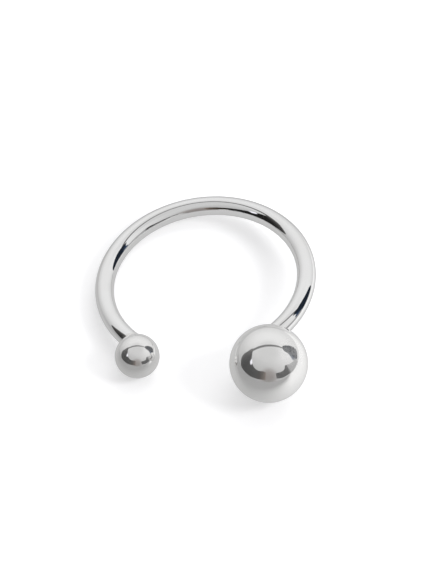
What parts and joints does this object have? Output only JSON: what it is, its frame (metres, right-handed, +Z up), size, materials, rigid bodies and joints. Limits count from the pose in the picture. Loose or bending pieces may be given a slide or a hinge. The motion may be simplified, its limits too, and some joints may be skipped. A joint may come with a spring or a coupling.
{
  "type": "double ball ring",
  "caption": "Open finger ring of round polished wire with a large ball on one end and a small ball on the other, lying on its side.",
  "frame": {"origin": "on the surface that the ring lies on, under the middle of its bounding box", "axes": "+Z up from that surface; -Y towards the opening between the balls; +X towards the large ball's side. The ring's own axis leans 7.85 degrees from +Z, because it rests on both balls and the back of the band."},
  "size_m": [0.0198, 0.0232, 0.007],
  "materials": {
    "polished_silver": "mirror polished, a little softer on the balls"
  },
  "bodies": {
    "root": {"ring": "polished_silver"}
  },
  "joints": []
}
